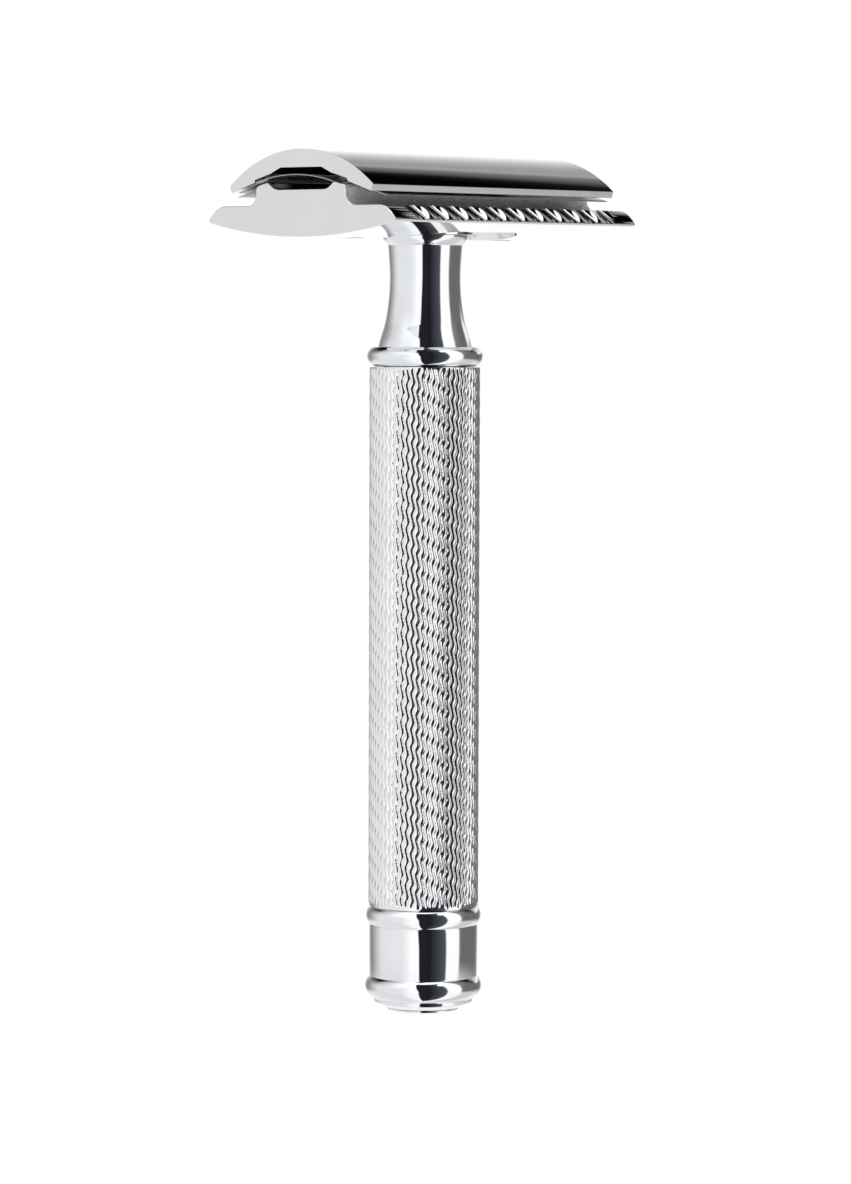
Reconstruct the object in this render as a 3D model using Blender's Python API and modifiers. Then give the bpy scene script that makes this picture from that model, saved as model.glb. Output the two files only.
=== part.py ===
"""Double-edge safety razor, standing on the foot of its handle.

Units are metres, +Z up. The origin is the centre of the flat underside of the
handle's foot. The handle's axis is Z, and the head's long axis is X.
Every length below is written in millimetres and multiplied by MM.
"""
import math

import bmesh
import bpy
from mathutils import Vector

MM = 0.001

# ------------------------------------------------------------------ dimensions
# Head, along X and across Y
CAP_LENGTH = 41.0
PLATE_LENGTH = 41.0
CAP_EDGE_UPPER = (10.08, 90.16)      # y, z of the corner where crown meets edge flat
CAP_EDGE_LOWER = (9.86, 89.44)       # y, z of the lower corner of the edge flat
CAP_TOP = 94.0
CAP_HOLLOW_TOP = 92.06
CAP_HOLLOW_HALF = 3.05
PLATE_TIP = (13.19, 86.56)           # y, z of the safety bar's outer tip
PLATE_RIM_LOW = (13.08, 86.28)
PLATE_BELLY = 84.72                  # lowest line of the curved underside
SHELF_Z = 88.04
BED_FLOOR_Z = 89.74
SEAT_RECESS_Z = 85.45                # flat round recess under the plate
SEAT_RECESS_R = 10.0
BOSS_R = 5.3
BOSS_Z = 85.20
SCALLOPS = 11
SCALLOP_PITCH = 3.2
SCALLOP_R = 3.07                     # wide, shallow scoops that nearly touch
SCALLOP_DEPTH = 0.45
SCALLOP_MID = (12.15, 87.67)         # y, z of the slope's middle, where the scoop is deepest

# Blade, a standard double-edge blade bent over the bed
BLADE_LENGTH = 43.0
BLADE_EDGE_LENGTH = 37.4
BLADE_WIDTH = 22.0
BLADE_TAB_WIDTH = 10.9
BLADE_THICK = 0.10
BLADE_CROWN_Z = 91.27
BLADE_BEND_R = 19.0
BLADE_BEND_HALF = 5.2

# Stud, posts and their holes
STUD_R = 2.42
STUD_MINOR_R = 2.02
STUD_PITCH = 0.8
STUD_TOP = 93.1
STUD_THREAD_TOP = 84.0
STUD_BOTTOM = 76.6
POST_X = 12.5
POST_R = 1.4
POST_BOTTOM = 86.6
CLEAR = 0.06                         # running clearance between head pieces

# Handle
HANDLE_TOP = 85.16
TUBE_TOP = 70.82
TUBE_BOTTOM = 11.66
TUBE_R = 6.05
TUBE_BORE_R = 4.65
SPIGOT_R = 4.59
NECK_BORE_R = 2.56
NECK_BORE_BOTTOM = 75.4
FOOT_BORE_R = 2.60
FOOT_UNDER = 0.44                    # underside of the foot, over the button's rim
BUTTON_STEM_R = 2.54

TURN_STEPS = 48

# ------------------------------------------------------------------ scene setup
for old in list(bpy.data.objects):
    bpy.data.objects.remove(old, do_unlink=True)
for old in list(bpy.data.collections):
    bpy.data.collections.remove(old)

parts = bpy.data.collections.new("safety_razor")
cutters = bpy.data.collections.new("cutters")
bpy.context.scene.collection.children.link(parts)
bpy.context.scene.collection.children.link(cutters)


def material(name, colour, roughness, metallic=1.0):
    mat = bpy.data.materials.new(name)
    mat.use_nodes = True
    bsdf = mat.node_tree.nodes["Principled BSDF"]
    bsdf.inputs["Base Color"].default_value = (*colour, 1.0)
    bsdf.inputs["Roughness"].default_value = roughness
    bsdf.inputs["Metallic"].default_value = metallic
    mat.diffuse_color = (*colour, 1.0)
    return mat


CHROME = material("chrome_plate", (0.80, 0.81, 0.83), 0.06)
CHROME_CAST = material("chrome_cast", (0.78, 0.79, 0.80), 0.10)
CHROME_GRIP = material("chrome_grip", (0.76, 0.77, 0.79), 0.18)
CHROME_FOOT = material("chrome_foot", (0.80, 0.81, 0.83), 0.07)
CHROME_NECK = material("chrome_neck", (0.80, 0.81, 0.83), 0.05)
BLADE_STEEL = material("blade_steel", (0.62, 0.63, 0.65), 0.22)
STUD_BRASS = material("plated_brass", (0.74, 0.72, 0.66), 0.20)
BUTTON_MAT = material("chrome_button", (0.78, 0.79, 0.81), 0.10)


def smooth(obj, angle=32.0):
    obj.data.shade_smooth()
    obj.data.set_sharp_from_angle(angle=math.radians(angle))


def finish(obj, mat, collection=parts):
    obj.data.materials.clear()
    obj.data.materials.append(mat)
    for coll in list(obj.users_collection):
        coll.objects.unlink(obj)
    collection.objects.link(obj)
    return obj


def cutter(obj):
    obj.hide_render = True
    obj.display_type = "WIRE"
    for coll in list(obj.users_collection):
        coll.objects.unlink(obj)
    cutters.objects.link(obj)
    return obj


def cut(obj, tool, name, operation="DIFFERENCE"):
    mod = obj.modifiers.new(name, "BOOLEAN")
    mod.operation = operation
    mod.object = tool
    mod.solver = "EXACT"
    return mod


def turned(name, profile, steps=TURN_STEPS, collection=parts):
    """Solid of revolution about Z from (radius, z) points in mm, given from the
    axis at the top, down the outer side, to the axis at the bottom."""
    mesh = bpy.data.meshes.new(name)
    bm = bmesh.new()
    verts = [bm.verts.new((r * MM, 0.0, z * MM)) for r, z in profile]
    for a, b in zip(verts, verts[1:]):
        bm.edges.new((a, b))
    bm.to_mesh(mesh)
    bm.free()
    obj = bpy.data.objects.new(name, mesh)
    collection.objects.link(obj)
    screw = obj.modifiers.new("Turn", "SCREW")
    screw.axis = "Z"
    screw.angle = math.tau
    screw.steps = steps
    screw.render_steps = steps
    screw.use_merge_vertices = True
    screw.merge_threshold = 1e-6
    screw.use_smooth_shade = True
    return obj


def extruded(name, section, half_length, collection=parts):
    """Prism along X from a closed (y, z) outline in mm, listed anticlockwise as
    seen from +X."""
    mesh = bpy.data.meshes.new(name)
    bm = bmesh.new()
    verts = [bm.verts.new((-half_length * MM, y * MM, z * MM)) for y, z in section]
    face = bm.faces.new(verts)
    out = bmesh.ops.extrude_face_region(bm, geom=[face])
    moved = [v for v in out["geom"] if isinstance(v, bmesh.types.BMVert)]
    bmesh.ops.translate(bm, verts=moved, vec=(2.0 * half_length * MM, 0.0, 0.0))
    bmesh.ops.recalc_face_normals(bm, faces=bm.faces)
    bm.to_mesh(mesh)
    bm.free()
    obj = bpy.data.objects.new(name, mesh)
    collection.objects.link(obj)
    return obj


def cylinder(name, radius, z_low, z_high, x=0.0, y=0.0, steps=40):
    bpy.ops.mesh.primitive_cylinder_add(
        vertices=steps, radius=radius * MM, depth=(z_high - z_low) * MM,
        location=(x * MM, y * MM, 0.5 * (z_low + z_high) * MM))
    obj = bpy.context.object
    obj.name = name
    return obj


def bead(centre_r, centre_z, minor, first, last, count):
    """Points of a rounded bead, angles in degrees from +R towards +Z."""
    pts = []
    for i in range(count + 1):
        a = math.radians(first + (last - first) * i / count)
        pts.append((centre_r + minor * math.cos(a), centre_z + minor * math.sin(a)))
    return pts


def mirror_section(half):
    """Close a (y, z) half outline, given from y = 0 round to y = 0, on both sides."""
    other = [(-y, z) for y, z in reversed(half) if abs(y) > 1e-9]
    return half + other


# ------------------------------------------------------------------ blade
def blade_height(y):
    """Height of the bent blade's middle surface at a distance y from its centre line."""
    y = abs(y)
    if y <= BLADE_BEND_HALF:
        return BLADE_CROWN_Z - (BLADE_BEND_R - math.sqrt(BLADE_BEND_R ** 2 - y * y))
    slope = BLADE_BEND_HALF / math.sqrt(BLADE_BEND_R ** 2 - BLADE_BEND_HALF ** 2)
    edge = BLADE_CROWN_Z - (BLADE_BEND_R
                            - math.sqrt(BLADE_BEND_R ** 2 - BLADE_BEND_HALF ** 2))
    return edge - slope * (y - BLADE_BEND_HALF)


def blade_half_chord(flat):
    """Distance from the centre line, once bent, of a point `flat` mm out on the flat blade."""
    arc = BLADE_BEND_R * math.asin(BLADE_BEND_HALF / BLADE_BEND_R)
    if flat <= arc:
        return BLADE_BEND_R * math.sin(flat / BLADE_BEND_R)
    return BLADE_BEND_HALF + (flat - arc) * math.cos(math.asin(BLADE_BEND_HALF / BLADE_BEND_R))


def blade_stations():
    """Flat distances from the centre line at which the blade's section is drawn."""
    arc = BLADE_BEND_R * math.asin(BLADE_BEND_HALF / BLADE_BEND_R)
    inner = [arc * i / 6 for i in range(7)]
    return inner + [arc + (BLADE_WIDTH / 2 - 1.0 - arc) * 0.5, BLADE_WIDTH / 2 - 1.0]


def make_blade():
    half_t = BLADE_THICK / 2
    stations = blade_stations()
    upper, lower = [], []
    for flat in stations:
        y = blade_half_chord(flat)
        z = blade_height(y)
        dz = 0.02
        slope = (blade_height(y + dz) - blade_height(max(y - dz, 0.0))) / (
            dz + min(dz, y)) if y > 0 else 0.0
        length = math.hypot(1.0, slope)
        ny, nz = -slope / length, 1.0 / length
        upper.append((y + ny * half_t, z + nz * half_t))
        lower.append((y - ny * half_t, z - nz * half_t))
    tip_y = blade_half_chord(BLADE_WIDTH / 2)
    tip = (tip_y, blade_height(tip_y))
    half = upper + [tip] + list(reversed(lower))
    half[0] = (0.0, half[0][1])
    half[-1] = (0.0, half[-1][1])
    section = mirror_section(half)
    obj = extruded("razor_blade", section, BLADE_LENGTH / 2)

    # Corner notches that leave the narrow end tabs
    for sx in (-1, 1):
        for sy in (-1, 1):
            x0 = BLADE_EDGE_LENGTH / 2
            bpy.ops.mesh.primitive_cube_add(size=1.0)
            box = bpy.context.object
            box.name = "blade_notch_%s%s" % ("n" if sx < 0 else "p", "n" if sy < 0 else "p")
            box.scale = (8 * MM, 8 * MM, 12 * MM)
            box.location = (sx * (x0 + 4.0) * MM,
                            sy * (BLADE_TAB_WIDTH / 2 + 4.0) * MM, 89.0 * MM)
            cutter(box)
            cut(obj, box, box.name)
    # Centre hole, locating holes and the slots between them
    hole = cutter(cylinder("blade_hole_centre", 2.95, 88.0, 94.0, steps=32))
    cut(obj, hole, "Centre")
    for sx in (-1, 1):
        hole = cutter(cylinder("blade_hole_%s" % ("n" if sx < 0 else "p"),
                               POST_R + 0.25, 88.0, 94.0, x=sx * POST_X, steps=24))
        cut(obj, hole, hole.name)
    bpy.ops.mesh.primitive_cube_add(size=1.0)
    slot = bpy.context.object
    slot.name = "blade_slot"
    slot.scale = (2 * POST_X * MM, 1.5 * MM, 8 * MM)
    slot.location = (0.0, 0.0, 91.0 * MM)
    cutter(slot)
    cut(obj, slot, "Slot")
    finish(obj, BLADE_STEEL)
    return obj


# ------------------------------------------------------------------ cap
def cap_section():
    """Half outline of the cap from the crown round to the hollow's ceiling."""
    y1, z1 = CAP_EDGE_UPPER
    rise = CAP_TOP - z1
    radius = (y1 * y1 + rise * rise) / (2 * rise)
    half_angle = math.asin(y1 / radius)
    pts = []
    steps = 16
    for i in range(steps + 1):
        a = half_angle * i / steps
        pts.append((radius * math.sin(a), CAP_TOP - radius * (1 - math.cos(a))))
    pts.append(CAP_EDGE_LOWER)
    pts.append((6.50, 90.54))
    pts.append((6.50, 90.82))
    pts.append((4.20, 91.44))
    pts.append((3.85, 91.62))
    pts.append((CAP_HOLLOW_HALF + 0.12, CAP_HOLLOW_TOP - 0.14))
    pts.append((CAP_HOLLOW_HALF - 0.12, CAP_HOLLOW_TOP))
    pts.append((0.0, CAP_HOLLOW_TOP))
    return pts


def make_cap():
    obj = extruded("top_cap", mirror_section(cap_section()), CAP_LENGTH / 2)
    # Boss round the stud and the two locating posts, cast in one with the cap
    boss = cutter(cylinder("cap_stud_boss", 3.9, 91.62, 93.0, steps=40))
    cut(obj, boss, "StudBoss", "UNION")
    for sx in (-1, 1):
        post = cutter(cylinder("cap_post_%s" % ("n" if sx < 0 else "p"),
                               POST_R, POST_BOTTOM, 93.0, x=sx * POST_X, steps=24))
        cut(obj, post, post.name, "UNION")
    bore = cutter(cylinder("cap_stud_hole", STUD_R + 0.05, 90.0, STUD_TOP + 0.05, steps=40))
    cut(obj, bore, "StudHole")
    finish(obj, CHROME)
    smooth(obj, 24.0)
    return obj


# ------------------------------------------------------------------ stud
def make_stud():
    """Stud with a helical thread: one cross-section swept down while it turns."""
    mesh = bpy.data.meshes.new("threaded_stud")
    bm = bmesh.new()
    around = 20
    rows = []

    def ring(z, fn):
        row = []
        for k in range(around):
            a = math.tau * k / around
            r = fn(a, z)
            row.append(bm.verts.new((r * math.cos(a) * MM, r * math.sin(a) * MM, z * MM)))
        rows.append(row)

    def thread(a, z):
        phase = ((STUD_THREAD_TOP - z) / STUD_PITCH + a / math.tau) % 1.0
        wave = abs(2.0 * phase - 1.0)
        fade = min(1.0, max(0.0, (STUD_THREAD_TOP - z) / 0.6))
        lead = min(1.0, max(0.0, (z - STUD_BOTTOM) / 0.5))
        full = STUD_MINOR_R + (STUD_R - STUD_MINOR_R) * min(1.0, 1.25 * wave) * lead
        return STUD_R * (1.0 - fade) + full * fade

    for z in (STUD_TOP, STUD_THREAD_TOP):
        ring(z, lambda a, zz: STUD_R)
    count = int(round((STUD_THREAD_TOP - STUD_BOTTOM) / (STUD_PITCH / 5)))
    for i in range(1, count + 1):
        ring(STUD_THREAD_TOP + (STUD_BOTTOM - STUD_THREAD_TOP) * i / count, thread)
    ring(STUD_BOTTOM - 0.25, lambda a, zz: STUD_MINOR_R - 0.35)
    for upper, lower in zip(rows, rows[1:]):
        for k in range(around):
            n = (k + 1) % around
            bm.faces.new((upper[k], lower[k], lower[n], upper[n]))
    bm.faces.new(rows[0])
    bm.faces.new(list(reversed(rows[-1])))
    bmesh.ops.recalc_face_normals(bm, faces=bm.faces)
    bm.to_mesh(mesh)
    bm.free()
    obj = bpy.data.objects.new("threaded_stud", mesh)
    parts.objects.link(obj)
    finish(obj, STUD_BRASS)
    return obj


# ------------------------------------------------------------------ base plate
def plate_section():
    """Half outline of the base plate: bed floor, bed, shelf, safety bar, belly."""
    pts = [(0.0, BED_FLOOR_Z), (3.25, BED_FLOOR_Z), (3.75, BED_FLOOR_Z + 0.12),
           (4.15, 90.12), (4.50, 90.42)]
    # Bed: crest under the blade, kept just clear of it
    for y in (4.72, 4.95, 5.20):
        pts.append((y, blade_height(y) - BLADE_THICK / 2 - CLEAR - 0.02))
    pts += [(5.95, 90.22), (6.25, 90.02), (6.36, 89.78)]
    # Wall down to the shelf with a concave fillet
    fr = 1.22
    cy, cz = 6.38 + fr, SHELF_Z + fr
    for i in range(7):
        a = math.radians(180 + 90 * i / 6)
        pts.append((cy + fr * math.cos(a), cz + fr * math.sin(a)))
    # Shelf and the convex slope out to the tip
    y0, z0 = 10.9, SHELF_Z
    pts.append((y0, z0))
    ty, tz = PLATE_TIP
    for i in range(1, 7):
        t = i / 6.0
        # quadratic through a control point on the shelf line
        cy2, cz2 = 12.05, SHELF_Z
        y = (1 - t) ** 2 * y0 + 2 * t * (1 - t) * cy2 + t * t * ty
        z = (1 - t) ** 2 * z0 + 2 * t * (1 - t) * cz2 + t * t * tz
        pts.append((y, z))
    pts.append(PLATE_RIM_LOW)
    # Curved underside
    yr, zr = PLATE_RIM_LOW
    rise = zr - PLATE_BELLY
    radius = (yr * yr + rise * rise) / (2 * rise)
    a1 = math.asin(yr / radius)
    n = 12
    for i in range(1, n + 1):
        a = a1 * (1 - i / n)
        pts.append((radius * math.sin(a), PLATE_BELLY + radius * (1 - math.cos(a))))
    pts[-1] = (0.0, PLATE_BELLY)
    return pts


def make_plate():
    obj = extruded("base_plate", mirror_section(plate_section()), PLATE_LENGTH / 2)
    # Round flat recess under the plate, with the boss the handle seats on
    outer = cylinder("seat_recess", SEAT_RECESS_R, 83.5, SEAT_RECESS_Z, steps=64)
    inner = cutter(cylinder("seat_boss", BOSS_R, BOSS_Z, 90.0, steps=48))
    cutter(outer)
    cut(outer, inner, "LeaveBoss")
    cut(obj, outer, "SeatRecess")
    low = cutter(cylinder("seat_face", BOSS_R + 0.6, 83.0, BOSS_Z, steps=48))
    cut(obj, low, "SeatFace")
    # Stud hole and the two post holes
    hole = cutter(cylinder("plate_stud_hole", 2.75, 83.0, 92.0, steps=40))
    cut(obj, hole, "StudHole")
    for sx in (-1, 1):
        post = cutter(cylinder("plate_post_hole_%s" % ("n" if sx < 0 else "p"),
                               POST_R + 0.15, 83.0, 92.0, x=sx * POST_X, steps=24))
        cut(obj, post, post.name)
    # Scallops across the shelf's outer corner, both sides
    ty, tz = PLATE_TIP
    slope = math.atan2(SHELF_Z - tz, ty - 10.9)
    for side in (-1, 1):
        for i in range(SCALLOPS):
            x = (i - (SCALLOPS - 1) / 2) * SCALLOP_PITCH
            bpy.ops.mesh.primitive_cylinder_add(
                vertices=32, radius=SCALLOP_R * MM, depth=7.0 * MM, end_fill_type="NGON")
            tool = bpy.context.object
            tool.name = "scallop_%s_%02d" % ("n" if side < 0 else "p", i + 1)
            # Axis of the scoop runs down the slope, above its surface
            axis = Vector((0.0, side * math.cos(slope), -math.sin(slope)))
            tool.rotation_mode = "QUATERNION"
            tool.rotation_quaternion = axis.to_track_quat("Z", "Y")
            mid = Vector((x, side * SCALLOP_MID[0], SCALLOP_MID[1]))
            normal = Vector((0.0, side * math.sin(slope), math.cos(slope)))
            tool.location = (mid + normal * (SCALLOP_R - SCALLOP_DEPTH)) * MM
            cutter(tool)
            cut(obj, tool, tool.name)
    finish(obj, CHROME_CAST)
    smooth(obj, 24.0)
    return obj


# ------------------------------------------------------------------ handle
def neck_profile():
    pts = [(NECK_BORE_R, HANDLE_TOP), (4.68, HANDLE_TOP), (4.76, HANDLE_TOP - 0.06)]
    # Flange, rounded in to the waist
    pts += [(4.74, 84.94), (4.63, 84.68), (4.47, 84.46), (4.28, 84.24), (4.11, 84.06)]
    # Waist: a smooth flare, narrowest at z = 80.4
    waist_z, waist_r = 80.4, 3.88
    for i in range(12):
        z = 83.95 + (73.35 - 83.95) * i / 11
        d = (z - waist_z)
        if d >= 0:
            r = waist_r + 0.0135 * d * d
        else:
            r = waist_r + 0.0226 * d * d - 0.00006 * abs(d) ** 3
        pts.append((r, z))
    pts += bead(5.18, 72.0, 1.22, 84, -66, 10)
    pts += [(5.60, TUBE_TOP + 0.05), (SPIGOT_R, TUBE_TOP + 0.05)]
    pts += [(SPIGOT_R, 64.6), (SPIGOT_R - 0.35, 64.2), (0.0, 64.2)]
    # Blind tapped bore, closed from below by the spigot
    return pts


def make_neck():
    profile = neck_profile()
    bore = [(0.0, NECK_BORE_BOTTOM - 1.1), (NECK_BORE_R, NECK_BORE_BOTTOM)]
    obj = turned("neck", bore + profile)
    finish(obj, CHROME_NECK)
    return obj


def make_tube():
    """Grip tube; the ring section is turned, top to bottom down the outer side."""
    profile = [(TUBE_BORE_R, TUBE_TOP), (TUBE_R - 0.12, TUBE_TOP),
               (TUBE_R, TUBE_TOP - 0.12), (TUBE_R, TUBE_BOTTOM + 0.12),
               (TUBE_R - 0.12, TUBE_BOTTOM), (TUBE_BORE_R, TUBE_BOTTOM),
               (TUBE_BORE_R, TUBE_TOP)]
    obj = turned("grip_tube", profile)
    finish(obj, CHROME_GRIP)
    return obj


def foot_profile():
    top = TUBE_BOTTOM - 0.05
    pts = [(FOOT_BORE_R, 17.4), (SPIGOT_R - 0.35, 17.4), (SPIGOT_R, 17.05),
           (SPIGOT_R, top), (5.93, top)]
    # Upper bead
    pts += bead(4.965, 10.60, 1.405, 44, -45, 9)
    pts += [(5.97, 9.57), (6.0, 9.52)]
    # Plain band
    pts += [(6.0, 4.00), (5.97, 3.92)]
    # Lower bead
    pts += bead(4.99, 2.80, 1.46, 46, -53, 10)
    # Step in to the foot's rim
    pts += [(5.62, 1.52), (5.55, 1.40), (5.46, 1.06), (5.36, 0.98), (4.96, 0.76),
            (4.60, 0.56), (4.16, 0.46)]
    pts += [(4.10, FOOT_UNDER), (FOOT_BORE_R, FOOT_UNDER), (FOOT_BORE_R, 17.4)]
    return pts


def make_foot():
    obj = turned("foot", foot_profile())
    finish(obj, CHROME_FOOT)
    return obj


def make_button():
    """Closing button: a low stepped disc with a stem pressed up into the foot."""
    pts = [(0.0, 9.0), (BUTTON_STEM_R - 0.3, 9.0), (BUTTON_STEM_R, 8.7),
           (BUTTON_STEM_R, FOOT_UNDER - CLEAR), (3.90, FOOT_UNDER - CLEAR), (3.98, 0.31),
           (3.96, 0.20), (3.78, 0.13), (3.46, 0.09), (3.38, 0.04), (3.34, 0.0), (0.0, 0.0)]
    obj = turned("end_button", pts)
    finish(obj, BUTTON_MAT)
    return obj


make_cap()
make_stud()
make_blade()
make_plate()
make_neck()
make_tube()
make_foot()
make_button()
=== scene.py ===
"""Looks of the safety razor: finer meshes, chrome and steel materials, studio and camera."""
import math
import bmesh
import bpy
import numpy as np
from mathutils import Matrix, Vector


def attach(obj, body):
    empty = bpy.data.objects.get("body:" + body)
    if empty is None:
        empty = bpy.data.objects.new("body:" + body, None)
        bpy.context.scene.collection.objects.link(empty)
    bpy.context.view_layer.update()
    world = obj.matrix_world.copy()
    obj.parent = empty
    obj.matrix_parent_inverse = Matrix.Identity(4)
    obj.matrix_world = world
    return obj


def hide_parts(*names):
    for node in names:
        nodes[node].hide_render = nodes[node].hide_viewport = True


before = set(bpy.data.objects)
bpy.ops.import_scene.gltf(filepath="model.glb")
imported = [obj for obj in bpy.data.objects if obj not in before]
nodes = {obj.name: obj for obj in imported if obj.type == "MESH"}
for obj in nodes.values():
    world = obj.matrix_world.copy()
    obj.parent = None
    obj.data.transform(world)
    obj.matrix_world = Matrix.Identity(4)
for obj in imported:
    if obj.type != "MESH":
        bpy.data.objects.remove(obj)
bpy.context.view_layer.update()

MM = 0.001
scene = bpy.context.scene

# ------------------------------------------------------------------ sizes (mm), as in the CAD
CAP_HALF = 20.5
PLATE_HALF = 20.5
BLADE_HALF = 21.5
BLADE_EDGE_HALF = 18.7
TAB_HALF = 5.45
CROWN_Z = 91.27
BEND_R = 19.0
BEND_HALF = 5.2
BLADE_T = 0.10
SHELF_Z = 88.04
TUBE_R = 6.05
TUBE_TOP, TUBE_BOTTOM = 70.82, 11.66


# ------------------------------------------------------------------ mesh helpers
def mesh_object(name, verts, faces, smooth_angle=None):
    mesh = bpy.data.meshes.new(name)
    mesh.from_pydata([(x * MM, y * MM, z * MM) for x, y, z in verts], [], faces)
    mesh.validate()
    bm = bmesh.new()
    bm.from_mesh(mesh)
    bmesh.ops.recalc_face_normals(bm, faces=bm.faces)
    bm.to_mesh(mesh)
    bm.free()
    obj = bpy.data.objects.new(name, mesh)
    scene.collection.objects.link(obj)
    if smooth_angle is not None:
        mesh.shade_smooth()
        mesh.set_sharp_from_angle(angle=math.radians(smooth_angle))
    return obj


def bake(obj):
    """Apply every modifier, so that the mesh is final."""
    dg = bpy.context.evaluated_depsgraph_get()
    dg.update()
    new = bpy.data.meshes.new_from_object(obj.evaluated_get(dg))
    old = obj.data
    obj.modifiers.clear()
    obj.data = new
    bpy.data.meshes.remove(old)
    return obj


def face_weighted(obj, angle):
    """Smooth shading in which the large faces keep their own normals and only the
    narrow edge roundings turn, so that long mirror faces reflect true."""
    obj.data.shade_smooth()
    obj.data.set_sharp_from_angle(angle=math.radians(angle))
    mod = obj.modifiers.new("Normals", "WEIGHTED_NORMAL")
    mod.mode = "FACE_AREA"
    mod.weight = 50
    mod.keep_sharp = True
    bake(obj)


def catmull(points, per_span, closed=False):
    out = []
    n = len(points)
    for i in range(n - 1):
        p0 = points[max(i - 1, 0)]
        p1, p2 = points[i], points[i + 1]
        p3 = points[min(i + 2, n - 1)]
        for k in range(per_span):
            t = k / per_span
            out.append(tuple(
                0.5 * ((2 * p1[j]) + (-p0[j] + p2[j]) * t
                       + (2 * p0[j] - 5 * p1[j] + 4 * p2[j] - p3[j]) * t * t
                       + (-p0[j] + 3 * p1[j] - 3 * p2[j] + p3[j]) * t ** 3) for j in (0, 1)))
    out.append(tuple(points[-1]))
    return out


def arc(cx, cy, r, a0, a1, n):
    return [(cx + r * math.cos(math.radians(a0 + (a1 - a0) * i / n)),
             cy + r * math.sin(math.radians(a0 + (a1 - a0) * i / n))) for i in range(n + 1)]


def rounded(points, radii, steps=4):
    """Open outline with its inner corners rounded; radii is one number or a dict by index."""
    out = [points[0]]
    for i in range(1, len(points) - 1):
        r = radii.get(i, 0.0) if isinstance(radii, dict) else radii
        p, a, b = (Vector(q) for q in (points[i], points[i - 1], points[i + 1]))
        da, db = (a - p), (b - p)
        la, lb = da.length, db.length
        if r <= 0 or la < 1e-9 or lb < 1e-9:
            out.append(tuple(p))
            continue
        da.normalize()
        db.normalize()
        ang = math.acos(max(-1.0, min(1.0, da.dot(db))))
        if ang > math.radians(176):
            out.append(tuple(p))
            continue
        d = min(r / math.tan(ang / 2), 0.48 * la, 0.48 * lb)
        p0, p2 = p + da * d, p + db * d
        for k in range(steps + 1):
            t = k / steps
            out.append(tuple((1 - t) ** 2 * p0 + 2 * t * (1 - t) * p + t * t * p2))
    out.append(points[-1])
    return out


def lathe(name, profile, steps=160, smooth_angle=40):
    """Solid of revolution; profile from the axis or bore round the outer side and back."""
    verts, faces = [], []
    rings = []
    for r, z in profile:
        if r < 1e-6:
            rings.append([len(verts)])
            verts.append((0.0, 0.0, z))
        else:
            rings.append(list(range(len(verts), len(verts) + steps)))
            for k in range(steps):
                a = math.tau * k / steps
                verts.append((r * math.cos(a), r * math.sin(a), z))
    for a, b in zip(rings, rings[1:]):
        for k in range(steps):
            n = (k + 1) % steps
            if len(a) == 1 and len(b) == 1:
                continue
            if len(a) == 1:
                faces.append((a[0], b[k], b[n]))
            elif len(b) == 1:
                faces.append((a[k], b[0], a[n]))
            else:
                faces.append((a[k], b[k], b[n], a[n]))
    return mesh_object(name, verts, faces, smooth_angle)


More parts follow.
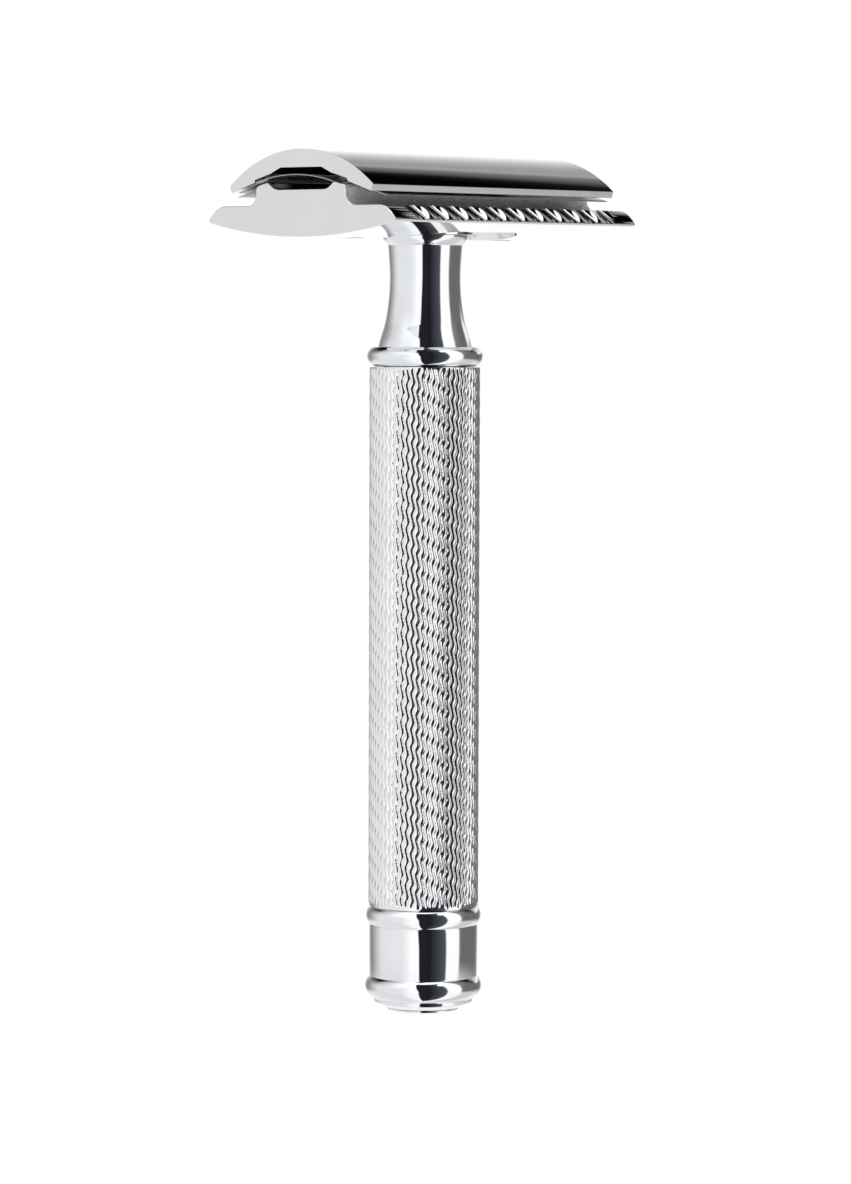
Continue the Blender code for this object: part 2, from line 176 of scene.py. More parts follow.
# ------------------------------------------------------------------ materials
def shader(name, colour, rough, metallic=1.0, tint=0.03, rough_var=0.04, grain=0.0,
           grain_scale=(1.0, 1.0, 1.0), bump=0.0, bump_scale=900.0, coat=0.0):
    """Plated or rolled metal: base colour and roughness wander a little over the surface,
    with fine polishing marks as bump."""
    mat = bpy.data.materials.new(name)
    mat.use_nodes = True
    nt = mat.node_tree
    bsdf = nt.nodes["Principled BSDF"]
    bsdf.inputs["Metallic"].default_value = metallic
    if coat:
        bsdf.inputs["Coat Weight"].default_value = coat
    tc = nt.nodes.new("ShaderNodeTexCoord")
    mapping = nt.nodes.new("ShaderNodeMapping")
    mapping.inputs["Scale"].default_value = grain_scale
    nt.links.new(tc.outputs["Object"], mapping.inputs["Vector"])
    broad = nt.nodes.new("ShaderNodeTexNoise")
    broad.inputs["Scale"].default_value = 160.0
    broad.inputs["Detail"].default_value = 3.0
    nt.links.new(tc.outputs["Object"], broad.inputs["Vector"])
    fine = nt.nodes.new("ShaderNodeTexNoise")
    fine.inputs["Scale"].default_value = bump_scale
    fine.inputs["Detail"].default_value = 5.0
    nt.links.new(mapping.outputs["Vector"], fine.inputs["Vector"])
    ramp = nt.nodes.new("ShaderNodeValToRGB")
    ramp.color_ramp.elements[0].position = 0.3
    ramp.color_ramp.elements[1].position = 0.7
    ramp.color_ramp.elements[0].color = (*[c * (1 - tint) for c in colour], 1)
    ramp.color_ramp.elements[1].color = (*[min(1, c * (1 + tint * 0.5)) for c in colour], 1)
    nt.links.new(broad.outputs["Fac"], ramp.inputs["Fac"])
    if grain > 0:
        gramp = nt.nodes.new("ShaderNodeMapRange")
        gramp.inputs["To Min"].default_value = 1.0 - grain
        gramp.inputs["To Max"].default_value = 1.0 + grain * 0.3
        nt.links.new(fine.outputs["Fac"], gramp.inputs["Value"])
        mul = nt.nodes.new("ShaderNodeMix")
        mul.data_type = "RGBA"
        mul.blend_type = "MULTIPLY"
        mul.inputs["Factor"].default_value = 1.0
        nt.links.new(ramp.outputs["Color"], mul.inputs["A"])
        nt.links.new(gramp.outputs["Result"], mul.inputs["B"])
        nt.links.new(mul.outputs["Result"], bsdf.inputs["Base Color"])
    else:
        nt.links.new(ramp.outputs["Color"], bsdf.inputs["Base Color"])
    rr = nt.nodes.new("ShaderNodeMapRange")
    rr.inputs["To Min"].default_value = max(0.0, rough - rough_var * 0.5)
    rr.inputs["To Max"].default_value = rough + rough_var
    nt.links.new(fine.outputs["Fac"], rr.inputs["Value"])
    nt.links.new(rr.outputs["Result"], bsdf.inputs["Roughness"])
    if bump > 0:
        bp = nt.nodes.new("ShaderNodeBump")
        bp.inputs["Strength"].default_value = bump
        bp.inputs["Distance"].default_value = 0.00002
        nt.links.new(fine.outputs["Fac"], bp.inputs["Height"])
        nt.links.new(bp.outputs["Normal"], bsdf.inputs["Normal"])
    return mat


CHROME = (0.90, 0.905, 0.915)
MAT_CAP = shader("chrome_cap", CHROME, 0.030, rough_var=0.02, bump=0.03)
MAT_END = shader("chrome_end_face", (0.83, 0.83, 0.835), 0.20, tint=0.02, rough_var=0.06,
                 grain=0.05, bump=0.10, bump_scale=2600.0)
MAT_PLATE = shader("chrome_plate", CHROME, 0.045, rough_var=0.03, bump=0.04)
MAT_BED = shader("chrome_bed", (0.93, 0.93, 0.93), 0.40, metallic=0.12, rough_var=0.14, grain=0.55,
                 bump=0.55, bump_scale=2600.0, grain_scale=(0.6, 1.0, 1.0))
MAT_NECK = shader("chrome_neck", (0.90, 0.91, 0.915), 0.025, rough_var=0.02, bump=0.02)
MAT_GRIP = shader("chrome_grip", (0.91, 0.915, 0.92), 0.075, rough_var=0.03, bump=0.03)
MAT_FOOT = shader("chrome_foot", (0.90, 0.905, 0.915), 0.030, rough_var=0.02, bump=0.03)
MAT_BUTTON = shader("chrome_button", (0.88, 0.885, 0.90), 0.04, rough_var=0.03, bump=0.04)
MAT_STUD = shader("plated_brass", (0.80, 0.77, 0.70), 0.14, rough_var=0.08, bump=0.08,
                  grain=0.06)
MAT_BLADE = shader("blade_steel", (0.42, 0.43, 0.44), 0.24, rough_var=0.10, grain=0.14,
                   grain_scale=(0.08, 1.0, 1.0), bump=0.10, bump_scale=3000.0)
MAT_BEVEL = shader("blade_bevel", (0.80, 0.81, 0.82), 0.13, rough_var=0.08, grain=0.16,
                   grain_scale=(1.0, 0.05, 0.05), bump=0.12, bump_scale=5000.0)


def end_faces(obj, mat, x_min):
    """Give the flat faces at both ends of a prism the sawn-end material."""
    obj.data.materials.append(mat)
    slot = len(obj.data.materials) - 1
    for poly in obj.data.polygons:
        if abs(poly.normal.x) > 0.995 and abs(poly.center.x) > x_min * MM:
            poly.material_index = slot


# ------------------------------------------------------------------ blade
def blade_height(y):
    y = abs(y)
    if y <= BEND_HALF:
        return CROWN_Z - (BEND_R - math.sqrt(BEND_R ** 2 - y * y))
    s = math.sqrt(BEND_R ** 2 - BEND_HALF ** 2)
    return CROWN_Z - (BEND_R - s) - BEND_HALF / s * (y - BEND_HALF)


def half_chord(flat):
    a = BEND_R * math.asin(BEND_HALF / BEND_R)
    if flat <= a:
        return BEND_R * math.sin(flat / BEND_R)
    return BEND_HALF + (flat - a) * math.cos(math.asin(BEND_HALF / BEND_R))


def prism(name, outline, half, bevel, angle=30, smooth_angle=30, segments=3):
    """Prism along X from a closed (y, z) outline, with its end edges rounded."""
    n = len(outline)
    verts = [(-half, y, z) for y, z in outline] + [(half, y, z) for y, z in outline]
    faces = [tuple(range(n)), tuple(reversed(range(n, 2 * n)))]
    for i in range(n):
        j = (i + 1) % n
        faces.append((i, n + i, n + j, j))
    obj = mesh_object(name, verts, faces)
    if bevel > 0:
        mod = obj.modifiers.new("Edge", "BEVEL")
        mod.width = bevel * MM
        mod.segments = segments
        mod.limit_method = "ANGLE"
        mod.angle_limit = math.radians(angle)
        mod.harden_normals = False
    return obj


def cut_with(obj, tool, operation="DIFFERENCE"):
    mod = obj.modifiers.new("cut", "BOOLEAN")
    mod.operation = operation
    mod.solver = "EXACT"
    mod.object = tool
    dg = bpy.context.evaluated_depsgraph_get()
    dg.update()
    new = bpy.data.meshes.new_from_object(obj.evaluated_get(dg))
    obj.modifiers.clear()
    obj.data = new
    bpy.data.objects.remove(tool)


def cyl(radius, z0, z1, x=0.0, y=0.0, steps=64):
    verts, faces = [], []
    for z in (z0, z1):
        for k in range(steps):
            a = math.tau * k / steps
            verts.append((x + radius * math.cos(a), y + radius * math.sin(a), z))
    faces.append(tuple(range(steps)))
    faces.append(tuple(reversed(range(steps, 2 * steps))))
    for k in range(steps):
        n = (k + 1) % steps
        faces.append((k, n, steps + n, steps + k))
    return mesh_object("tool", verts, faces)


def make_blade():
    """Bent strip with ground bevels, end tabs, slotted middle."""
    a = BEND_R * math.asin(BEND_HALF / BEND_R)
    flats = [a * i / 14 for i in range(15)] + [a + (10.55 - a) * i / 3 for i in (1, 2, 3)]
    upper, lower = [], []
    for f in flats:
        y = half_chord(f)
        z = blade_height(y)
        slope = 0.0 if y == 0 else (blade_height(y + 0.02) - blade_height(y - 0.02)) / 0.04
        ln = math.hypot(1, slope)
        upper.append((y - slope / ln * BLADE_T / 2, z + BLADE_T / 2 / ln))
        lower.append((y + slope / ln * BLADE_T / 2, z - BLADE_T / 2 / ln))
    ty = half_chord(11.0)
    tip = (ty, blade_height(ty))
    half = upper + [tip] + lower[::-1]
    outline = half + [(-y, z) for y, z in reversed(half) if y > 1e-6]
    obj = prism("razor_blade_detail", outline, BLADE_HALF, 0.0)
    # corner notches with rounded inner corners
    for sx in (-1, 1):
        for sy in (-1, 1):
            pts = rounded([(BLADE_EDGE_HALF, 14.0), (BLADE_EDGE_HALF, TAB_HALF),
                           (24.0, TAB_HALF)], {1: 0.5}, 5)
            pts = pts + [(24.0, 14.0)]
            n = len(pts)
            verts = [(sx * x, sy * y, 86.0) for x, y in pts] + \
                    [(sx * x, sy * y, 93.0) for x, y in pts]
            faces = [tuple(range(n)), tuple(reversed(range(n, 2 * n)))]
            faces += [(i, n + i, n + (i + 1) % n, (i + 1) % n) for i in range(n)]
            cut_with(obj, mesh_object("tool", verts, faces))
    # centre hole, end holes and the long slot
    tool = cyl(2.95, 88, 94)
    cut_with(obj, tool)
    for sx in (-1, 1):
        cut_with(obj, cyl(1.65, 88, 94, x=sx * 12.5, steps=40))
    n = 4
    pts = [(-12.5, -0.75), (12.5, -0.75), (12.5, 0.75), (-12.5, 0.75)]
    verts = [(x, y, 87.0) for x, y in pts] + [(x, y, 95.0) for x, y in pts]
    faces = [(0, 1, 2, 3), (7, 6, 5, 4)] + [(i, 4 + i, 4 + (i + 1) % 4, (i + 1) % 4)
                                           for i in range(4)]
    cut_with(obj, mesh_object("tool", verts, faces))
    obj.data.materials.clear()
    obj.data.materials.append(MAT_BLADE)
    obj.data.materials.append(MAT_BEVEL)
    for poly in obj.data.polygons:
        if abs(poly.center.y) > half_chord(10.55) * MM and abs(poly.normal.x) < 0.5:
            poly.material_index = 1
    obj.data.shade_smooth()
    obj.data.set_sharp_from_angle(angle=math.radians(3.2))
    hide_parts("razor_blade")
    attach(obj, "blade")
    return obj


# ------------------------------------------------------------------ cap
def cap_outline():
    y1, z1 = 10.08, 90.16
    rise = 94.0 - z1
    radius = (y1 * y1 + rise * rise) / (2 * rise)
    ha = math.asin(y1 / radius)
    crown = [(radius * math.sin(ha * i / 60), 94.0 - radius * (1 - math.cos(ha * i / 60)))
             for i in range(61)]
    under = rounded([crown[-1], (9.86, 89.44), (6.50, 90.54), (6.50, 90.82), (4.20, 91.44),
                     (3.85, 91.62), (3.17, 91.92), (2.93, 92.06), (0.0, 92.06)],
                    {1: 0.05, 2: 0.05, 3: 0.04, 4: 0.15, 5: 0.12, 6: 0.12, 7: 0.12}, 4)
    return crown[:-1] + under


def make_cap():
    half = cap_outline()
    outline = half + [(-y, z) for y, z in reversed(half) if y > 1e-6]
    obj = prism("top_cap_detail", outline, CAP_HALF, 0.11, angle=50, segments=3)
    bake(obj)
    cut_with(obj, cyl(3.9, 91.62, 93.0, steps=72), "UNION")
    for sx in (-1, 1):
        post = lathe("tool", [(0.0, 93.0), (1.4, 93.0), (1.4, 86.95), (1.3, 86.72),
                              (1.1, 86.6), (0.0, 86.6)], steps=40)
        post.data.transform(Matrix.Translation((sx * 12.5 * MM, 0, 0)))
        cut_with(obj, post, "UNION")
    cut_with(obj, cyl(2.47, 90.0, 93.15, steps=72))
    obj.data.materials.clear()
    obj.data.materials.append(MAT_CAP)
    end_faces(obj, MAT_END, CAP_HALF - 0.02)
    face_weighted(obj, 33)
    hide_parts("top_cap")
    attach(obj, "cap")
    return obj


# ------------------------------------------------------------------ base plate
def plate_outline():
    pts = [(0.0, 89.74), (3.25, 89.74), (3.75, 89.86), (4.15, 90.12), (4.50, 90.42)]
    for y in (4.72, 4.95, 5.20):
        pts.append((y, blade_height(y) - BLADE_T / 2 - 0.08))
    pts += [(5.95, 90.22), (6.25, 90.02), (6.36, 89.78)]
    bed = rounded(pts, {1: 0.5, 2: 0.6, 3: 0.6, 4: 0.2, 5: 0.15, 7: 0.25, 8: 0.3, 9: 0.3}, 4)
    fr = 1.22
    fillet = arc(6.38 + fr, SHELF_Z + fr, fr, 180, 270, 14)
    out = bed + fillet[1:]
    y0, z0 = 10.9, SHELF_Z
    ty, tz = 13.19, 86.56
    out.append((y0, z0))
    for i in range(1, 13):
        t = i / 12
        out.append(((1 - t) ** 2 * y0 + 2 * t * (1 - t) * 12.05 + t * t * ty,
                    (1 - t) ** 2 * z0 + 2 * t * (1 - t) * SHELF_Z + t * t * tz))
    yr, zr = 13.08, 86.28
    out.append((yr, zr))
    rise = zr - 84.72
    radius = (yr * yr + rise * rise) / (2 * rise)
    a1 = math.asin(yr / radius)
    for i in range(1, 25):
        a = a1 * (1 - i / 24)
        out.append((radius * math.sin(a), 84.72 + radius * (1 - math.cos(a))))
    out[-1] = (0.0, 84.72)
    return out


def scoop(x, side):
    """Round-nosed scoop whose axis runs down the slope."""
    steps, length, radius, depth = 128, 3.5, 3.07, 0.45
    slope = math.atan2(SHELF_Z - 86.56, 13.19 - 10.9)
    axis = Vector((0.0, side * math.cos(slope), -math.sin(slope)))
    normal = Vector((0.0, side * math.sin(slope), math.cos(slope)))
    across = Vector((1.0, 0.0, 0.0))
    mid = Vector((x, side * 12.15, 87.67)) + normal * (radius - depth)
    prof = [(-length, 0.0), (-length, radius), (length, radius), (length, 0.0)]
    verts, faces, rings = [], [], []
    for s, r in prof:
        if r < 1e-6:
            rings.append([len(verts)])
            verts.append(tuple(mid + axis * s))
        else:
            rings.append(list(range(len(verts), len(verts) + steps)))
            for k in range(steps):
                a = math.tau * k / steps
                verts.append(tuple(mid + axis * s + (across * math.cos(a)
                                                     + normal * math.sin(a)) * r))
    for a, b in zip(rings, rings[1:]):
        for k in range(steps):
            n = (k + 1) % steps
            if len(a) == 1:
                faces.append((a[0], b[k], b[n]))
            elif len(b) == 1:
                faces.append((a[k], b[0], a[n]))
            else:
                faces.append((a[k], b[k], b[n], a[n]))
    return mesh_object("tool", verts, faces)


def make_plate():
    half = plate_outline()
    outline = half + [(-y, z) for y, z in reversed(half) if y > 1e-6]
    obj = prism("base_plate_detail", outline, PLATE_HALF, 0.10, angle=50, segments=3)
    bake(obj)
    # flat round recess with the seat boss
    ring = lathe("tool", [(5.3, 83.0), (10.0, 83.0), (10.0, 85.45), (5.3, 85.45), (5.3, 83.0)],
                 steps=128)
    cut_with(obj, ring)
    cut_with(obj, cyl(5.9, 82.0, 85.20, steps=96))
    cut_with(obj, cyl(2.75, 83.0, 92.0, steps=64))
    for sx in (-1, 1):
        cut_with(obj, cyl(1.55, 83.0, 92.0, x=sx * 12.5, steps=40))
    # neighbouring scoops overlap above the plate, so they are cut in two rounds
    for first in (0, 1):
        bm = bmesh.new()
        for side in (-1, 1):
            for i in range(first, 11, 2):
                t = scoop((i - 5) * 3.2, side)
                bm.from_mesh(t.data)
                bpy.data.objects.remove(t)
        mesh = bpy.data.meshes.new("tools")
        bm.to_mesh(mesh)
        bm.free()
        tool = bpy.data.objects.new("tools", mesh)
        scene.collection.objects.link(tool)
        cut_with(obj, tool)
    obj.data.materials.clear()
    obj.data.materials.append(MAT_PLATE)
    end_faces(obj, MAT_END, PLATE_HALF - 0.02)
    obj.data.materials.append(MAT_BED)
    for poly in obj.data.polygons:
        c, n = poly.center, poly.normal
        if abs(c.x) < (PLATE_HALF - 0.05) * MM and c.z > (SHELF_Z - 0.02) * MM \
                and 5.8 * MM < abs(c.y) < 10.8 * MM:
            poly.material_index = 2
    face_weighted(obj, 33)
    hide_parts("base_plate")
    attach(obj, "plate")
    return obj


# ------------------------------------------------------------------ stud
def make_stud():
    """Machined stud with a 0.8 mm right-hand thread and a chamfered nose."""
    around, pitch = 72, 0.8
    top, bottom = 84.0, 76.6
    rings = [[(2.42, 93.1)] * around, [(2.42, 84.0)] * around]
    count = int((top - bottom) / (pitch / 14))
    for i in range(1, count + 1):
        z = top - (top - bottom) * i / count
        ring = []
        for k in range(around):
            phase = ((top - z) / pitch + k / around) % 1.0
            wave = min(1.0, max(0.0, 1.18 * abs(2 * phase - 1) - 0.06))
            fade = min(1.0, (top - z) / 0.6)
            lead = min(1.0, (z - bottom) / 0.5)
            full = 2.02 + 0.40 * wave * lead
            ring.append((2.42 * (1 - fade) + full * fade, z))
        rings.append(ring)
    rings.append([(1.67, 76.35)] * around)
    verts, faces = [], []
    for ring in rings:
        for k, (r, z) in enumerate(ring):
            a = math.tau * k / around
            verts.append((r * math.cos(a), r * math.sin(a), z))
    for i in range(len(rings) - 1):
        for k in range(around):
            n = (k + 1) % around
            faces.append((i * around + k, (i + 1) * around + k, (i + 1) * around + n,
                          i * around + n))
    faces.append(tuple(range(around)))
    faces.append(tuple(reversed(range((len(rings) - 1) * around, len(rings) * around))))
    obj = mesh_object("threaded_stud_detail", verts, faces, 35)
    obj.data.materials.append(MAT_STUD)
    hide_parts("threaded_stud")
    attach(obj, "cap")
    return obj


# ------------------------------------------------------------------ handle
def make_neck():
    profile = [(0.0, 74.3), (2.56, 75.4), (2.56, 84.96), (2.76, 85.16)]
    profile += rounded([(4.68, 85.16), (4.76, 85.15), (4.76, 85.09)], {1: 0.04}, 4)
    profile += catmull([(4.76, 85.09), (4.74, 84.94), (4.63, 84.68), (4.47, 84.46),
                        (4.28, 84.24), (4.11, 84.06)], 5)[1:]
    waist = [(4.05, 83.4), (3.98, 82.5), (3.93, 81.65), (3.90, 80.8), (3.91, 79.9),
             (3.95, 79.0), (4.02, 78.2), (4.13, 77.3), (4.27, 76.4), (4.46, 75.5),
             (4.70, 74.7), (4.98, 73.8), (5.12, 73.25), (5.17, 73.02)]
    profile += catmull([(4.10, 84.02)] + waist, 5)
    profile += rounded([(5.17, 73.02), (5.80, 73.01), (5.93, 72.96)], {1: 0.05}, 3)[1:-1]
    profile += arc(5.18, 72.0, 1.22, 52, -66, 36)
    profile += [(5.60, 70.87), (4.59, 70.87), (4.59, 64.6), (4.24, 64.2), (0.0, 64.2)]
    obj = lathe("neck_detail", profile, 192, 34)
    obj.data.materials.append(MAT_NECK)
    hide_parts("neck")
    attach(obj, "handle")
    return obj


GROOVES = 62          # round the grip
TURNS_OF_PHASE = 14   # how far the wave slips round one turn
PERIOD = 1.945
AMPLITUDE = 0.21      # sideways swing, as a share of the spacing
WALL = 0.48           # half width of a groove, as a share of the spacing
DEPTH = 0.145


def make_grip():
    """Tube with fine wavy lengthwise grooves, cut as real relief."""
    cols, z0, z1 = GROOVES * 9, TUBE_BOTTOM, TUBE_TOP
    plain_low, plain_high = 0.22, 0.04
    rows_z = [z1]
    count = 390
    rows_z += [z1 - 0.03 - (z1 - z0 - 0.06) * i / count for i in range(count + 1)]
    rows_z.append(z0)
    verts, faces = [], []
    z = np.array(rows_z)[:, None]
    k = np.arange(cols)[None, :]
    theta = math.tau * k / cols
    u = GROOVES * theta / math.tau + AMPLITUDE * np.sin(
        math.tau * z / PERIOD + TURNS_OF_PHASE * theta)
    rate = 1.0 + AMPLITUDE * TURNS_OF_PHASE * math.tau / GROOVES * np.cos(
        math.tau * z / PERIOD + TURNS_OF_PHASE * theta)
    d = np.abs(u - np.round(u)) / rate         # distance to the nearest groove
    w = np.minimum(d / WALL, 1.0)
    relief = 1.0 - (1.0 - w) ** 1.6              # flat ridge between curved walls
    edge = np.clip((z - (z0 + plain_low)) / 0.45, 0, 1) * np.clip((z1 - plain_high - z) / 0.30, 0, 1)
    edge = edge * edge * (3 - 2 * edge)
    r = TUBE_R - DEPTH * (1.0 - relief) * edge
    r = r - np.where((z > z1 - 0.02) | (z < z0 + 0.02), 0.03, 0.0)
    x, y = r * np.cos(theta), r * np.sin(theta)
    zz = np.broadcast_to(z, x.shape)
    grid = np.stack([x, y, zz], -1).reshape(-1, 3)
    rows = len(rows_z)
    verts = [tuple(v) for v in grid]
    for i in range(rows - 1):
        a, b = i * cols, (i + 1) * cols
        for j in range(cols):
            n = (j + 1) % cols
            faces.append((a + j, b + j, b + n, a + n))
    # bore, and the two rims that join it to the outside
    base = len(verts)
    for zb in (z1, z0):
        for j in range(cols):
            t = math.tau * j / cols
            verts.append((4.65 * math.cos(t), 4.65 * math.sin(t), zb))
    last = (rows - 1) * cols
    for j in range(cols):
        n = (j + 1) % cols
        faces.append((j, n, base + n, base + j))
        faces.append((last + j, base + cols + j, base + cols + n, last + n))
        faces.append((base + j, base + n, base + cols + n, base + cols + j))
    mesh = bpy.data.meshes.new("grip_tube_detail")
    mesh.from_pydata([(a * MM, b * MM, c * MM) for a, b, c in verts], [], faces)
    bm = bmesh.new()
    bm.from_mesh(mesh)
    bmesh.ops.recalc_face_normals(bm, faces=bm.faces)
    bm.to_mesh(mesh)
    bm.free()
    mesh.shade_smooth()
    mesh.set_sharp_from_angle(angle=math.radians(42))
    obj = bpy.data.objects.new("grip_tube_detail", mesh)
    scene.collection.objects.link(obj)
    obj.data.materials.append(MAT_GRIP)
    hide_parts("grip_tube")
    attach(obj, "handle")
    return obj


def make_foot():
    top = TUBE_BOTTOM - 0.05
    profile = [(2.60, 0.44), (2.60, 17.4), (4.24, 17.4), (4.59, 17.05), (4.59, top)]
    profile += [(5.90, top)]
    profile += arc(4.965, 10.60, 1.405, 44, -45, 36)
    profile += [(5.93, 9.585), (5.955, 9.56), (5.985, 9.54), (6.0, 9.50), (6.0, 4.02),
                (5.985, 3.97), (5.955, 3.93), (5.95, 3.90)]
    profile += arc(4.99, 2.80, 1.46, 46, -53, 40)
    profile += rounded([(5.80, 1.60), (5.60, 1.52), (5.55, 1.42), (5.47, 1.06), (5.34, 0.96),
                        (4.96, 0.76), (4.60, 0.56), (4.18, 0.47), (4.10, 0.44), (2.60, 0.44)],
                       {1: 0.05, 2: 0.1, 3: 0.1, 4: 0.1, 5: 0.3, 6: 0.3, 7: 0.05, 8: 0.03}, 5)
    obj = lathe("foot_detail", profile, 192, 34)
    obj.data.materials.append(MAT_FOOT)
    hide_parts("foot")
    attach(obj, "handle")
    return obj


def make_button():
    profile = rounded([(0.0, 9.0), (2.24, 9.0), (2.54, 8.7), (2.54, 0.38), (3.90, 0.38),
                       (3.98, 0.31), (3.95, 0.18), (3.76, 0.12), (3.46, 0.09), (3.38, 0.04),
                       (3.30, 0.0), (0.0, 0.0)],
                      {4: 0.06, 5: 0.05, 6: 0.06, 7: 0.08, 8: 0.05, 9: 0.05, 10: 0.04}, 4)
    obj = lathe("end_button_detail", profile, 144, 34)
    obj.data.materials.append(MAT_BUTTON)
    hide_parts("end_button")
    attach(obj, "handle")
    return obj


make_cap()
make_stud()
make_blade()
make_plate()
make_neck()
make_grip()
make_foot()
make_button()

# ------------------------------------------------------------------ floor
bpy.ops.mesh.primitive_plane_add(size=6.0, location=(0, 0, -0.00002))
floor = bpy.context.object
floor.name = "floor"
fmat = bpy.data.materials.new("pale_floor")
fmat.use_nodes = True
fnt = fmat.node_tree
fnt.nodes.remove(fnt.nodes["Principled BSDF"])
emis = fnt.nodes.new("ShaderNodeEmission")
emis.inputs["Color"].default_value = (1, 1, 1, 1)
emis.inputs["Strength"].default_value = 1.0
fnt.links.new(emis.outputs[0], fnt.nodes["Material Output"].inputs["Surface"])
floor.data.materials.append(fmat)
floor.visible_glossy = False
floor.visible_shadow = False

# ------------------------------------------------------------------ studio, as a world
world = bpy.data.worlds.new("studio")
scene.world = world
world.use_nodes = True
wt = world.node_tree
wt.nodes.clear()


class E:
    """A small expression builder over shader math nodes."""

    def __init__(self, socket):
        self.s = socket

    @staticmethod
    def op(kind, *args):
        node = wt.nodes.new("ShaderNodeMath")
        node.operation = kind
        for i, a in enumerate(args):
            if isinstance(a, E):
                wt.links.new(a.s, node.inputs[i])
            else:
                node.inputs[i].default_value = float(a)
        return E(node.outputs[0])

    def __add__(self, o): return E.op("ADD", self, o)
    def __radd__(self, o): return E.op("ADD", o, self)
    def __sub__(self, o): return E.op("SUBTRACT", self, o)
    def __rsub__(self, o): return E.op("SUBTRACT", o, self)
    def __mul__(self, o): return E.op("MULTIPLY", self, o)
    def __rmul__(self, o): return E.op("MULTIPLY", o, self)
    def __truediv__(self, o): return E.op("DIVIDE", self, o)


def step(x, low, high):
    """0 under low, 1 over high, smooth between."""
    node = wt.nodes.new("ShaderNodeMapRange")
    node.interpolation_type = "SMOOTHSTEP"
    wt.links.new(x.s, node.inputs["Value"])
    for key, val in (("From Min", low), ("From Max", high)):
        if isinstance(val, E):
            wt.links.new(val.s, node.inputs[key])
        else:
            node.inputs[key].default_value = val
    return E(node.outputs[0])


def mix(a, b, t):
    return a + (b - a) * t if isinstance(a, E) or isinstance(b, E) else E.op("ADD", a, (b - a) * t)


def lin(v):
    v = v / 255.0
    return v / 12.92 if v <= 0.04045 else ((v + 0.055) / 1.055) ** 2.4


def ramp(x, stops):
    """Piecewise linear brightness over degrees -180..180; stops hold display values."""
    node = wt.nodes.new("ShaderNodeValToRGB")
    r = node.color_ramp
    r.interpolation = "LINEAR"
    pts = sorted(stops)
    r.elements[0].position = (pts[0][0] + 180) / 360
    r.elements[1].position = (pts[-1][0] + 180) / 360
    for e, p in ((r.elements[0], pts[0]), (r.elements[1], pts[-1])):
        e.color = (*[lin(p[1])] * 3, 1)
    for deg, val in pts[1:-1]:
        e = r.elements.new((deg + 180) / 360)
        e.color = (*[lin(val)] * 3, 1)
    pos = (x + 180.0) / 360.0
    wt.links.new(pos.s, node.inputs["Fac"])
    sep = wt.nodes.new("ShaderNodeSeparateColor")
    wt.links.new(node.outputs["Color"], sep.inputs[0])
    return E(sep.outputs[0])


tc = wt.nodes.new("ShaderNodeTexCoord")
sep = wt.nodes.new("ShaderNodeSeparateXYZ")
wt.links.new(tc.outputs["Generated"], sep.inputs[0])
dx, dy, dz = (E(sep.outputs[i]) for i in range(3))
AZ = math.radians(-50.0)
front = dx * math.sin(AZ) + dy * (-math.cos(AZ))
right = dx * math.cos(AZ) + dy * math.sin(AZ)
beta = E.op("ARCTAN2", right, front) * (180 / math.pi)
elev = E.op("ARCSINE", E.op("MINIMUM", E.op("MAXIMUM", dz, -1.0), 1.0)) * (180 / math.pi)

# around the horizon
MID = [(-180, 252), (-165, 245), (-152, 165), (-140, 130), (-126, 165), (-114, 196), (-100, 224),
       (-85, 226), (-45, 229), (-34, 240), (-27, 255), (60, 255), (80, 255), (84, 128), (90, 106),
       (134, 104), (150, 125), (160, 200), (168, 245), (180, 252)]
# high up
HIGH = [(-180, 6), (-124, 8), (-116, 60), (-106, 170), (-85, 218),
        (-74, 232), (-64, 252), (-30, 255), (82, 255), (87, 140), (98, 124), (110, 90),
        (122, 14), (142, 6), (164, 6), (180, 6)]
LOW = [(-180, 244), (-120, 222), (-50, 222), (-28, 250), (76, 250), (92, 205), (120, 200),
       (150, 232), (180, 244)]
mid, high, low = ramp(beta, MID), ramp(beta, HIGH), ramp(beta, LOW)
value = mix(mid, high, step(elev, 9.0, 38.0))
value = mix(value, low, step(elev * -1.0, 10.0, 26.0))
# the backdrop behind the object, fading upwards into the dark ceiling
back = E.op("MAXIMUM", step(beta, 126.0, 138.0), step(beta * -1.0, 164.0, 174.0))
fade = ramp(elev, [(-180, 255), (4, 255), (13.3, 236), (19.2, 206), (23.4, 184), (26.8, 163),
                   (30.2, 150), (32.4, 158), (33.6, 116), (35.4, 84), (36.3, 30), (36.9, 3),
                   (180, 3)])
value = mix(value, fade, back * step(elev, 4.0, 11.0))
# the dark gap between the two big lights in front, down to the floor under the camera
up = E.op("MAXIMUM", elev, 0.0)
left_edge = -8.8 - 0.18 * up
right_edge = 50.5 - 0.05 * up
gap = step(beta, left_edge - 1.5, left_edge + 1.5) * (1.0 - step(beta, right_edge - 3.0, right_edge + 2.0))
gap = gap * (1.0 - step(elev, 60.0, 66.0))
dark = ramp(beta, [(-180, 34), (-10, 34), (5, 34), (14, 30), (36, 68), (50, 86), (180, 86)])
value = mix(value, dark, gap)
# overhead light
far = step(beta, 112.0, 120.0)
value = mix(value, lin(255) * 1.2, step(elev, 66.5, 69.0) * (1.0 - far))
# long lamp over the far side, and the dark ceiling above it
value = mix(value, 1.3, far * step(elev, 50.0, 52.5) * (1.0 - step(elev, 67.0, 69.0)))
value = mix(value, 0.02, far * step(elev, 67.0, 69.0))
# bright small lamp in the gap
lamp_b = beta - 44.0
lamp_e = elev - 50.0
dist = E.op("SQRT", lamp_b * lamp_b + lamp_e * lamp_e)
value = mix(value, 1.3, 1.0 - step(dist, 5.0, 8.0))

GAIN = 1.12
value = value * GAIN
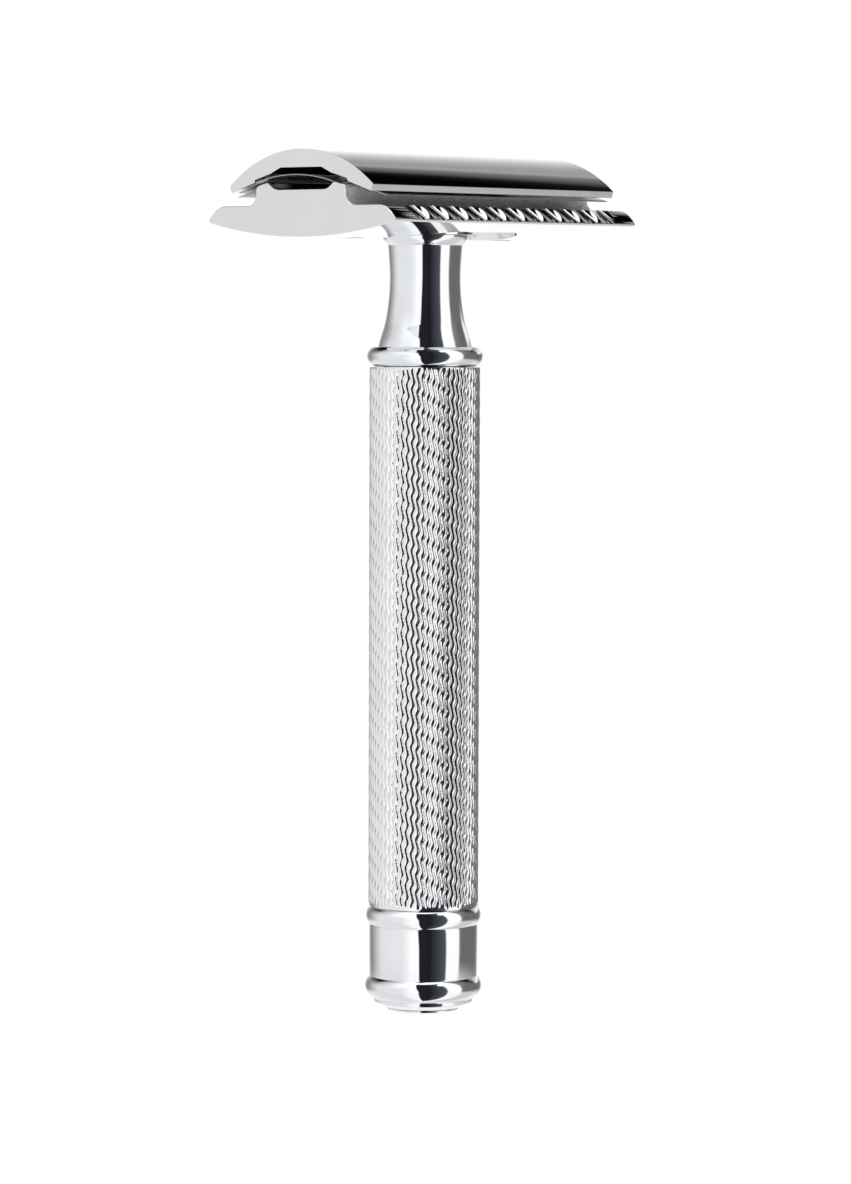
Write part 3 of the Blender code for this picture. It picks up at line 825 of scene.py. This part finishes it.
# the lights are a little cool on the left and the dark gap is navy
side = step(beta, -40.0, 40.0)
tinted = wt.nodes.new("ShaderNodeCombineColor")
for i, (cool, warm, navy) in enumerate(((0.985, 1.0, 0.90), (0.995, 1.0, 0.97), (1.012, 0.985, 1.16))):
    factor = mix(mix(E.op("ADD", cool, 0.0), E.op("ADD", warm, 0.0), side),
                 E.op("ADD", navy, 0.0), gap)
    wt.links.new((value * factor).s, tinted.inputs[i])
bg = wt.nodes.new("ShaderNodeBackground")
wt.links.new(tinted.outputs[0], bg.inputs["Color"])
white = wt.nodes.new("ShaderNodeBackground")
white.inputs["Color"].default_value = (1, 1, 1, 1)
white.inputs["Strength"].default_value = 1.0
lp = wt.nodes.new("ShaderNodeLightPath")
mixer = wt.nodes.new("ShaderNodeMixShader")
wt.links.new(lp.outputs["Is Camera Ray"], mixer.inputs[0])
wt.links.new(bg.outputs[0], mixer.inputs[1])
wt.links.new(white.outputs[0], mixer.inputs[2])
wout = wt.nodes.new("ShaderNodeOutputWorld")
wt.links.new(mixer.outputs[0], wout.inputs["Surface"])

# ------------------------------------------------------------------ camera
cam_data = bpy.data.cameras.new("camera")
cam = bpy.data.objects.new("camera", cam_data)
scene.collection.objects.link(cam)
DIST, CAM_Z = 489.2, 78.29
PITCH, ROLL, YAW = math.radians(3.76), math.radians(0.17), math.radians(-0.017)
a = AZ + YAW
forward = Vector((-math.sin(a) * math.cos(PITCH), math.cos(a) * math.cos(PITCH), -math.sin(PITCH)))
rt = Vector((math.cos(a), math.sin(a), 0.0))
upv = rt.cross(forward)
c, s = math.cos(ROLL), math.sin(ROLL)
rt2, up2 = c * rt + s * upv, -s * rt + c * upv
rot = Matrix((rt2, up2, -forward)).transposed()
cam.matrix_world = Matrix.Translation(
    (DIST * math.sin(AZ) * MM, -DIST * math.cos(AZ) * MM, CAM_Z * MM)) @ rot.to_4x4()
cam_data.sensor_width = 36.0
cam_data.sensor_fit = "AUTO"
cam_data.lens = 4469.0 * 36.0 / 1184.0
cam_data.clip_start = 0.01
cam_data.clip_end = 20.0
scene.camera = cam
scene.view_settings.view_transform = "Standard"
scene.view_settings.look = "None"
